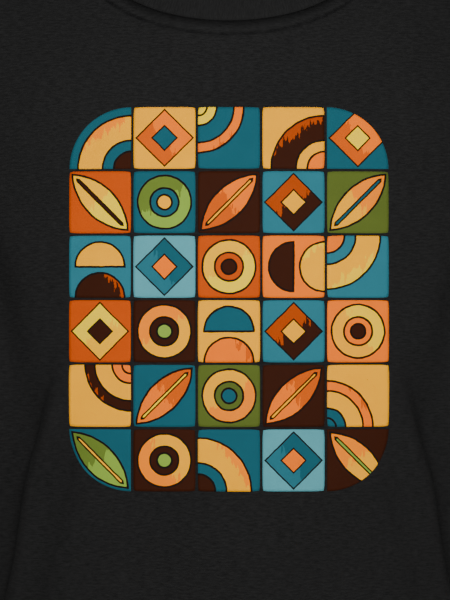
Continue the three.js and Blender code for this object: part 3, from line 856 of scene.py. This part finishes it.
def makePrint():
    pitch, gap, cells = chestPrint["tile"], chestPrint["gap"], chestPrint["cells"]
    left = -chestPrint["columns"] * pitch / 2
    n = (cells + 1) ** 2
    spots = np.arange(n).reshape(cells + 1, cells + 1)
    quads = quadsOf(spots).reshape(-1, 4)
    edge = np.concatenate([spots[0, :-1], spots[:-1, -1], spots[-1, :0:-1], spots[:0:-1, 0]])
    rim = np.stack([np.roll(edge, -1), edge, edge + n, np.roll(edge, -1) + n], -1)
    tileFaces = np.vstack([quads, quads[:, ::-1] + n, rim])
    points, faces, tileMap, clothMap, motifs, tones = [], [], [], [], [], []
    for row, line in enumerate(inkPlan(np.random.default_rng(inkSeed))):
        for column, (motif, colours, turns) in enumerate(line):
            s, t = [part.ravel() for part in tileGrid(column, row)]
            x = left + column * pitch + gap / 2 + s * (pitch - gap)
            z = chestPrint["top"] - (row + 1) * pitch + gap / 2 + t * (pitch - gap)
            face, normal = onFront(x, z)
            faces.append(tileFaces + len(points) * 2 * n)
            proud, sunk = normal * chestPrint["proud"], normal * chestPrint["sunk"]
            points.append(np.vstack([face + proud, face - sunk]))
            u, v = s - 0.5, t - 0.5
            for _ in range(turns):
                u, v = -v, u
            tileMap.append(np.tile(np.stack([u + 0.5, v + 0.5], -1), (2, 1))[tileFaces])
            clothMap.append(np.tile(np.stack([x, z], -1) * mm, (2, 1))[tileFaces])
            motifs += [motif] * len(tileFaces)
            tones += [[colourOf(inkColours[colour]) for colour in colours]] * len(tileFaces)
    points = np.vstack(points)
    faces, tileMap, clothMap = facedOut(points, np.vstack(faces), np.vstack(tileMap), np.vstack(clothMap))
    piece = makeMesh("chest_ink", points, faces, tileMap / mm)
    layer = piece.data.uv_layers.new(name="clothMap")
    layer.data.foreach_set("uv", clothMap.astype(np.float32).ravel())
    addValues(piece.data, "motif", "FACE", motifs)
    for k, part in enumerate(inkParts):
        addValues(piece.data, part, "FACE", np.array(tones)[:, k])
    return piece


ink = makePrint()
print("shirt: print laid")


# Materials

def wire(tree, value, socket):
    if isinstance(value, bpy.types.NodeSocket):
        tree.links.new(value, socket)
    else:
        socket.default_value = value


def setSockets(tree, node, inputs):
    for socket, value in inputs.items():
        wire(tree, value, node.inputs[socket])


def newMaterial(name, colour, roughness, specular=0.5):
    material = bpy.data.materials.new(name)
    material.use_nodes = True
    shader = material.node_tree.nodes["Principled BSDF"]
    look = {"Base Color": (*colour, 1), "Roughness": roughness, "Specular IOR Level": specular}
    setSockets(material.node_tree, shader, look)
    return material, material.node_tree, shader


def addNode(tree, kind, inputs=(), output=0, **settings):
    made = tree.nodes.new(kind)
    for name, value in settings.items():
        setattr(made, name, value)
    setSockets(tree, made, dict(inputs))
    return made.outputs[output]


def calc(tree, operation, *values):
    return addNode(tree, "ShaderNodeMath", dict(enumerate(values)), operation=operation)


def blend(tree, share, first, second):
    return addNode(tree, "ShaderNodeMix", {"Factor": share, 6: first, 7: second}, output=2, data_type="RGBA")


def ramp(tree, value, low, high, toLow=0.0, toHigh=1.0, shape="SMOOTHSTEP"):
    return addNode(tree, "ShaderNodeMapRange", {0: value, 1: low, 2: high, 3: toLow, 4: toHigh},
                   interpolation_type=shape)


def weighted(tree, first, second, share):
    parts = calc(tree, "MULTIPLY", first, share), calc(tree, "MULTIPLY", second, 1 - share)
    return calc(tree, "ADD", *parts)


def swing(tree, value, amount):
    # a noise's swing either way from its middle
    return calc(tree, "MULTIPLY", calc(tree, "SUBTRACT", value, 0.5), amount)


def shadeOf(code):
    return (*colourOf(code), 1)


noiseSpan = (0.3, 0.7)  # where most values of a noise lie


def twoAxes(tree, place):
    return [addNode(tree, "ShaderNodeSeparateXYZ", {0: place}, output=k) for k in (0, 1)]


def noiseOn(tree, place, scales, detail=3.0, roughness=0.6):
    # noise on places in metres, with one scale or its own scale each way
    each = scales if isinstance(scales, tuple) else (scales, scales, scales)
    at = addNode(tree, "ShaderNodeMapping", {0: place, 3: each})
    inputs = {"Vector": at, "Scale": 1.0, "Detail": detail, "Roughness": roughness}
    return addNode(tree, "ShaderNodeTexNoise", inputs)


def bump(tree, height, distance, strength, **under):
    inputs = {"Strength": strength, "Distance": distance, "Height": height, **under}
    return addNode(tree, "ShaderNodeBump", inputs)


knitLook = {"wobble": 260, "wobbleBy": 0.0007, "slant": 1.5, "columnShare": 0.7}


def knitHeight(tree, place, wale, course):
    # the V shapes of plain knit: wales run up the cloth and courses across it
    op = partial(calc, tree)
    shift = swing(tree, noiseOn(tree, place, knitLook["wobble"], 2.0), knitLook["wobbleBy"])
    across, up = twoAxes(tree, place)
    turn = op("FRACT", op("DIVIDE", op("ADD", across, shift), wale))
    leg = op("ABSOLUTE", op("SUBTRACT", turn, 0.5))
    lean = op("MULTIPLY", leg, knitLook["slant"])
    rise = op("SUBTRACT", op("DIVIDE", op("ADD", up, shift), course), lean)
    loop = op("MULTIPLY_ADD", op("SINE", op("MULTIPLY", rise, 2 * math.pi)), 0.5, 0.5)
    column = op("SINE", op("MULTIPLY", op("MULTIPLY", leg, 2), math.pi))
    share = knitLook["columnShare"]
    return op("MULTIPLY", loop, op("MULTIPLY_ADD", column, share, 1 - share))


clothLook = {"dark": "1c1c1c", "light": "292929", "seamShade": 0.5, "roughness": 0.92,
             "roughBy": (-0.06, 0.06), "sheen": 0.012, "sheenRoughness": 0.5, "specular": 0.004,
             "wale": 0.00072, "course": 0.00056, "knitDepth": 0.00016, "knitStrength": 0.5,
             "knitShade": (0.5, 0.7), "slub": (170, 900, 1), "slubDepth": 0.0002, "slubStrength": 0.8,
             "fineSlub": 2.3, "slubShare": 0.6, "yarnSpan": (0.34, 0.66), "mottle": 16, "mottleBy": 0.4,
             "fuzz": 1500, "fuzzBy": 0.5}
ribLook = {**clothLook, "dark": "1e1e1e", "light": "262626", "slub": (900, 170, 1), "knitStrength": 0.2,
           "wale": neckLength * mm / neckRib["ribCount"], "course": 0.0008}


def dyedCotton(name, look):
    # black cotton yarn: dye that varies a little from yarn to yarn, thick and thin places, fuzz
    material, tree, shader = newMaterial(name, colourOf(look["dark"]), look["roughness"], look["specular"])
    op = partial(calc, tree)
    place = addNode(tree, "ShaderNodeUVMap", uv_map="UVMap")
    body = addNode(tree, "ShaderNodeTexCoord", output="Object")
    slub = noiseOn(tree, place, look["slub"], 4.0, 0.65)
    slubFine = noiseOn(tree, place, tuple(look["fineSlub"] * s for s in look["slub"]), 2.0)
    mottle = noiseOn(tree, body, look["mottle"])
    fuzz = noiseOn(tree, body, look["fuzz"], 2.0)
    knit = knitHeight(tree, place, look["wale"], look["course"])
    yarn = weighted(tree, slub, slubFine, look["slubShare"])
    share = op("ADD", ramp(tree, yarn, *look["yarnSpan"]), swing(tree, mottle, look["mottleBy"]))
    share = op("ADD", share, swing(tree, fuzz, look["fuzzBy"]))
    # painted shade and light: the colour is darker where the knit loops dip and lighter on their tops
    share = op("MULTIPLY", share, op("MULTIPLY_ADD", knit, *look["knitShade"]))
    tone = blend(tree, share, shadeOf(look["dark"]), shadeOf(look["light"]))
    # painted shade: seams and stitch rows are darkened towards black, as hardly any light gets down into them
    depth = addNode(tree, "ShaderNodeAttribute", output="Fac", attribute_name="depth")
    tone = blend(tree, op("MULTIPLY", depth, look["seamShade"]), tone, (0, 0, 0, 1))
    rough = [look["roughness"] + change for change in look["roughBy"]]
    slubs = bump(tree, yarn, look["slubDepth"], look["slubStrength"])
    setSockets(tree, shader, {
        "Base Color": tone, "Roughness": ramp(tree, fuzz, *noiseSpan, *rough),
        "Normal": bump(tree, knit, look["knitDepth"], look["knitStrength"], Normal=slubs),
        "Sheen Weight": look["sheen"], "Sheen Roughness": look["sheenRoughness"]})
    return material


tapeLook = {"dark": "141415", "light": "262627", "roughness": (0.78, 0.92), "specular": 0.004,
            "herringbone": 0.0025, "ridge": 0.0009, "ridgeDepth": 0.0002, "ridgeStrength": 0.9,
            "lint": (900, 900, 1), "lintSpan": (0.25, 0.7)}


def twillTape(name, look):
    # herringbone twill: ridges that lean one way and then the other across the tape
    material, tree, shader = newMaterial(name, colourOf(look["dark"]), look["roughness"][1], look["specular"])
    op = partial(calc, tree)
    place = addNode(tree, "ShaderNodeUVMap", uv_map="UVMap")
    along, across = twoAxes(tree, place)
    zigzag = op("PINGPONG", across, look["herringbone"])
    ridge = op("SINE", op("MULTIPLY", op("ADD", along, zigzag), 2 * math.pi / look["ridge"]))
    ridge = op("MULTIPLY_ADD", ridge, 0.5, 0.5)
    lint = noiseOn(tree, place, look["lint"])
    share = op("MULTIPLY", ridge, ramp(tree, lint, *look["lintSpan"]))
    setSockets(tree, shader, {
        "Base Color": blend(tree, share, shadeOf(look["dark"]), shadeOf(look["light"])),
        "Roughness": ramp(tree, lint, 0.2, 0.8, *look["roughness"]),
        "Normal": bump(tree, ridge, look["ridgeDepth"], look["ridgeStrength"])})
    return material


threadLook = {"dark": "0b0b0c", "middle": "101011", "light": "17171a", "roughness": (0.66, 0.8),
              "specular": 0.2, "twist": 2600, "twistDepth": 0.0001, "twistStrength": 0.6}


def spunThread(name, look):
    # polyester thread: a fine unevenness stands for its twist
    rough = look["roughness"]
    material, tree, shader = newMaterial(name, colourOf(look["middle"]), rough[0], look["specular"])
    place = addNode(tree, "ShaderNodeTexCoord", output="Object")
    strands = noiseOn(tree, place, look["twist"], 2.0)
    setSockets(tree, shader, {
        "Base Color": blend(tree, strands, shadeOf(look["dark"]), shadeOf(look["light"])),
        "Roughness": ramp(tree, strands, *noiseSpan, *rough),
        "Normal": bump(tree, strands, look["twistDepth"], look["twistStrength"])})
    return material


inkLook = {"base": "d98036", "line": "140d0a", "lineWidth": 0.013, "soft": 0.006,
           "waver": 0.03, "waverScale": 160, "roughness": 0.66, "roughBy": (-0.1, 0.12), "specular": 0.1,
           "brush": (420, 1, 90), "brushBy": 0.8, "brushFrom": 0.92, "brushShare": 0.75,
           "grain": 2400, "cloud": 60, "grainShare": 0.55, "strength": (0.2, 0.8, 0.98, 1.16),
           "saturation": 1.06, "worn": "1d1d1e", "wornBelow": 0.30, "wornShare": 0.6, "crack": 0.035,
           "weave": 0.00013, "weaveStrength": 0.5}


def tileShapes(tree, u, v):
    # signed distances to the two shapes of each motif, below zero inside, in tile widths
    op = partial(calc, tree)

    def less(value, edge):
        return op("SUBTRACT", value, edge)

    def far(x, y):
        a, b = less(u, x), less(v, y)
        return op("SQRT", op("ADD", op("MULTIPLY", a, a), op("MULTIPLY", b, b)))

    def band(value, centre, half):
        return less(op("ABSOLUTE", less(value, centre)), half)

    corner, middle, lowDisc = far(0, 0), far(0.5, 0.5), far(0.5, 0)
    lens = op("MAXIMUM", far(1, 0), far(0, 1))
    square = op("ADD", op("ABSOLUTE", less(u, 0.5)), op("ABSOLUTE", less(v, 0.5)))
    arcs = op("MAXIMUM", less(0.14, op("PINGPONG", corner, 0.22)), less(corner, 0.98))
    midrib = op("MAXIMUM", band(less(u, v), 0.0, 0.035), less(lens, 0.88))
    halfDisc = op("MAXIMUM", less(middle, 0.4), less(0.5, v))
    return [
        (band(corner, 0.66, 0.2), less(corner, 0.28)),  # quarter ring
        (less(lens, 0.95), midrib),  # leaf
        (less(lowDisc, 0.4), halfDisc),  # two half discs
        (less(square, 0.46), less(square, 0.2)),  # diamond
        (arcs, less(corner, 0.3)),  # arcs round a corner
        (band(middle, 0.33, 0.1), less(middle, 0.12)),  # ring
    ]


def printedInk(name, look):
    material, tree, shader = newMaterial(name, colourOf(look["base"]), look["roughness"], look["specular"])
    op = partial(calc, tree)
    body = addNode(tree, "ShaderNodeTexCoord", output="Object")
    u, v = twoAxes(tree, addNode(tree, "ShaderNodeUVMap", uv_map="UVMap"))
    motif = addNode(tree, "ShaderNodeAttribute", output="Fac", attribute_name="motif")
    tones = [addNode(tree, "ShaderNodeAttribute", attribute_name=part) for part in inkParts]
    ground, shape, accent, shade = tones
    first, second = 0.0, 0.0
    for k, (one, two) in enumerate(tileShapes(tree, u, v)):
        chosen = op("COMPARE", motif, float(k), 0.5)
        first, second = op("MULTIPLY_ADD", one, chosen, first), op("MULTIPLY_ADD", two, chosen, second)
    # hand-cut edges: the distances waver a little
    waver = swing(tree, noiseOn(tree, body, look["waverScale"]), look["waver"])
    first, second = op("ADD", first, waver), op("ADD", second, waver)
    soft = look["soft"]
    inFirst, inSecond = ramp(tree, first, soft, -soft), ramp(tree, second, soft, -soft)
    line = op("MINIMUM", op("ABSOLUTE", first), op("ABSOLUTE", second))
    onLine = ramp(tree, line, look["lineWidth"] + soft, look["lineWidth"])
    # dry brush strokes of the shade on part of each shape
    slope = ramp(tree, weighted(tree, u, v, 0.6), 0.1, 0.9)
    strokes = op("ADD", slope, op("MULTIPLY", noiseOn(tree, body, look["brush"]), look["brushBy"]))
    shaded = op("MULTIPLY", op("GREATER_THAN", strokes, look["brushFrom"]), look["brushShare"])
    tone = blend(tree, inFirst, ground, blend(tree, shaded, shape, shade))
    tone = blend(tree, inSecond, tone, accent)
    tone = blend(tree, onLine, tone, shadeOf(look["line"]))
    # wear: uneven strength, and specks where the cloth shows through
    grain = noiseOn(tree, body, look["grain"], 2.0)
    wear = weighted(tree, grain, noiseOn(tree, body, look["cloud"], 4.0), look["grainShare"])
    bare = ramp(tree, wear, look["wornBelow"] + look["crack"], look["wornBelow"] - look["crack"])
    tone = addNode(tree, "ShaderNodeHueSaturation", {
        "Saturation": look["saturation"], "Color": tone, "Value": ramp(tree, wear, *look["strength"])})
    cloth = addNode(tree, "ShaderNodeUVMap", uv_map="clothMap")
    weave = knitHeight(tree, cloth, clothLook["wale"], clothLook["course"])
    rough = [look["roughness"] + change for change in look["roughBy"]]
    setSockets(tree, shader, {
        "Base Color": blend(tree, op("MULTIPLY", bare, look["wornShare"]), tone, shadeOf(look["worn"])),
        "Roughness": ramp(tree, grain, *noiseSpan, *rough),
        "Normal": bump(tree, weave, look["weave"], look["weaveStrength"])})
    return material


jerseyFinish = dyedCotton("black jersey", clothLook)
ribFinish = dyedCotton("black rib", ribLook)
tapeFinish = twillTape("black twill tape", tapeLook)
threadFinish = spunThread("black thread", threadLook)
inkFinish = printedInk("print ink", inkLook)
print("shirt: materials mixed")


# Stitches: Geometry Nodes set one thread loop after another along each row. Sizes in metres.
threadWork = {"radius": 0.00022, "gap": 0.00035, "neckLength": 0.0026, "hemLength": 0.0029,
              "sides": 6, "rings": 5}
threadRise = -0.02  # millimetres from the cloth's face to a loop's middle
rowSteps = {"neck": evenly(400), "hem": evenly(300), "sleeve": evenly(360)[:-1] * 2 * math.pi}


def stitchTree():
    tree = bpy.data.node_groups.new("stitches along rows", "GeometryNodeTree")
    tree.interface.new_socket("Geometry", in_out="INPUT", socket_type="NodeSocketGeometry")
    for name in ("Stitch Length", "Gap", "Radius"):
        tree.interface.new_socket(name, in_out="INPUT", socket_type="NodeSocketFloat")
    tree.interface.new_socket("Thread", in_out="INPUT", socket_type="NodeSocketMaterial")
    tree.interface.new_socket("Geometry", in_out="OUTPUT", socket_type="NodeSocketGeometry")
    given = tree.nodes.new("NodeGroupInput").outputs
    pitch = calc(tree, "ADD", given["Stitch Length"], given["Gap"])
    rows = addNode(tree, "GeometryNodeMeshToCurve", {"Mesh": given["Geometry"]})
    rows = addNode(tree, "GeometryNodeResampleCurve", {"Curve": rows, "Length": pitch}, mode="LENGTH")
    loop = addNode(tree, "GeometryNodeMeshUVSphere", {
        "Segments": threadWork["sides"], "Rings": threadWork["rings"], "Radius": 1.0})
    tangent = addNode(tree, "GeometryNodeInputTangent")
    out = addNode(tree, "GeometryNodeInputNamedAttribute", {"Name": "out"}, data_type="FLOAT_VECTOR")
    turn = addNode(tree, "FunctionNodeAlignRotationToVector", {"Vector": tangent}, axis="Z")
    turn = addNode(tree, "FunctionNodeAlignRotationToVector", {"Rotation": turn, "Vector": out},
                   axis="X", pivot_axis="Z")
    half = calc(tree, "MULTIPLY", given["Stitch Length"], 0.5)
    size = addNode(tree, "ShaderNodeCombineXYZ", {"X": given["Radius"], "Y": given["Radius"], "Z": half})
    placed = addNode(tree, "GeometryNodeInstanceOnPoints", {
        "Points": rows, "Instance": loop, "Rotation": turn, "Scale": size})
    made = addNode(tree, "GeometryNodeRealizeInstances", {"Geometry": placed})
    made = addNode(tree, "GeometryNodeSetShadeSmooth", {"Geometry": made})
    made = addNode(tree, "GeometryNodeSetMaterial", {"Geometry": made, "Material": given["Thread"]})
    wire(tree, made, tree.nodes.new("NodeGroupOutput").inputs["Geometry"])
    return tree


def rowMesh(name, rows):
    # rows are pairs of points and normals in millimetres, each a closed loop
    edges, start = [], 0
    for row, _ in rows:
        edges += [(start + i, start + (i + 1) % len(row)) for i in range(len(row))]
        start += len(row)
    mesh = bpy.data.meshes.new(name)
    mesh.from_pydata((np.vstack([row for row, _ in rows]) * mm).tolist(), edges, [])
    addValues(mesh, "out", "POINT", np.vstack([out for _, out in rows]))
    return mesh


def sewRows(name, rows, length):
    holder = putInScene(name, rowMesh(name, rows))
    modifier = holder.modifiers.new("sewing", "NODES")
    modifier.node_group = sewing
    values = {"Stitch Length": length, "Gap": threadWork["gap"], "Radius": threadWork["radius"],
              "Thread": threadFinish}
    for socket in sewing.interface.items_tree:
        if socket.name in values:
            modifier[socket.identifier] = values[socket.name]
    graph = bpy.context.evaluated_depsgraph_get()
    sewn = holder.evaluated_get(graph)
    made = bpy.data.meshes.new_from_object(sewn, preserve_all_data_layers=True, depsgraph=graph)
    bpy.data.objects.remove(holder)
    made.name = name
    return putInScene(name, made)


def onCloth(points, heightOf=None, runOf=None):
    # the cloth's outer face at settled places, as the panels have it
    normals = normalAt(points)
    relief = foldAt(points) + seamRelief(points)[0]
    if heightOf:
        relief += hemRelief(heightOf(points), runOf(points))
    return points + normals * (relief + threadRise)[:, None], normals


def neckRows():
    loop = allRound([neckSeam(facing, rowSteps["neck"]) for facing in (-1, 1)])
    way = unit(np.roll(loop, -2, 0) - np.roll(loop, 2, 0))
    down = unit(np.cross(normalAt(loop), way))
    down *= -np.sign(down[:, 2].mean())
    return [onCloth(settle(loop + down * distance)) for distance in neckEdge["rows"]]


def hemRows():
    loops = [allRound([levelRing(facing, form["hem"] + height, rowSteps["hem"]) for facing in (-1, 1)])
             for height in hem["rows"]]
    return [onCloth(loop, aboveHem, unrolledAround) for loop in loops]


def sleeveRows(side):
    loops = [sleeveRing(rowSteps["sleeve"], form["sleeveReach"] - height) for height in hem["rows"]]
    return [onCloth(loop * [side, 1, 1], aboveSleeveHem, roundSleeve) for loop in loops]


sewing = stitchTree()
neckStitches = sewRows("neck_stitches", neckRows(), threadWork["neckLength"])
hemStitches = sewRows("hem_stitches", hemRows(), threadWork["hemLength"])
sleeveStitches = sewRows("sleeve_stitches", sleeveRows(1) + sleeveRows(-1), threadWork["hemLength"])
print("shirt: stitches sewn")


pieces = [
    (frontPanel, "front_panel", "jersey", jerseyFinish),
    (backPanel, "back_panel", "jersey", jerseyFinish),
    (leftSleeve, "left_sleeve", "jersey", jerseyFinish),
    (rightSleeve, "right_sleeve", "jersey", jerseyFinish),
    (ribBand, "neck_rib", "rib", ribFinish),
    (neckTape, "neck_tape", "tape", tapeFinish),
    (ink, "chest_print", "print", inkFinish),
    (neckStitches, "neck_rib", "rib", None),
    (hemStitches, "front_panel", "jersey", None),
    (sleeveStitches, "left_sleeve", "jersey", None),
]
for piece, node, slot, finish in pieces:
    if finish:
        piece.data.materials.append(finish)
    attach(piece, "root")
    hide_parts(node)


# Camera, light and floor
view = {"centre": (-0.0024, -0.118, -0.245), "distance": 2.88, "height": 0.360, "sensor": 36}
studio = {"floor": -800, "floorReach": 6000, "floorColour": (0.78, 0.77, 0.75), "floorRoughness": 0.8,
          "wall": (0.86, 0.86, 0.85), "sky": 0.36}
# each light's place, the place it is aimed at, the side of its square in metres, and its power in watts
lights = {
    "front": ((-0.03, -0.86, -0.03), (0, -0.1, -0.2), 0.46, 5.9),
    "fill": ((2.4, -1.6, 0.3), (0, 0, -0.3), 2, 5),
    "back": ((1.9, 2.3, 0.9), (0, 0, -0.3), 1.6, 110),
    "over": ((0, 0, 2.4), (0, 0, -0.3), 2.6, 4),
}


def makeCamera():
    data = bpy.data.cameras.new("camera")
    data.sensor_width = view["sensor"]
    data.lens = view["sensor"] * view["distance"] / view["height"]
    camera = putInScene("camera", data)
    camera.location = Vector(view["centre"]) - Vector((0, view["distance"], 0))
    camera.rotation_euler = (math.pi / 2, 0, 0)
    bpy.context.scene.camera = camera


def makeLight(name, place, aim, size, power):
    data = bpy.data.lights.new(name, "AREA")
    data.shape = "RECTANGLE"
    data.size = data.size_y = size
    data.energy = power
    light = putInScene(name, data)
    light.location = place
    light.rotation_euler = (Vector(aim) - Vector(place)).to_track_quat("-Z", "Y").to_euler()


def makeStudio():
    world = bpy.data.worlds.new("studio")
    bpy.context.scene.world = world
    world.use_nodes = True
    background = world.node_tree.nodes["Background"].inputs
    background["Color"].default_value = (*studio["wall"], 1)
    background["Strength"].default_value = studio["sky"]
    reach, level = studio["floorReach"], studio["floor"]
    corners = [(x * reach, y * reach, level) for x, y in ((-1, -1), (1, -1), (1, 1), (-1, 1))]
    floor = makeMesh("floor", corners, [(0, 1, 2, 3)])
    floor.data.materials.append(newMaterial("pale floor", studio["floorColour"], studio["floorRoughness"])[0])
    for name, settings in lights.items():
        makeLight(name, *settings)


makeCamera()
makeStudio()

print("shirt: done")
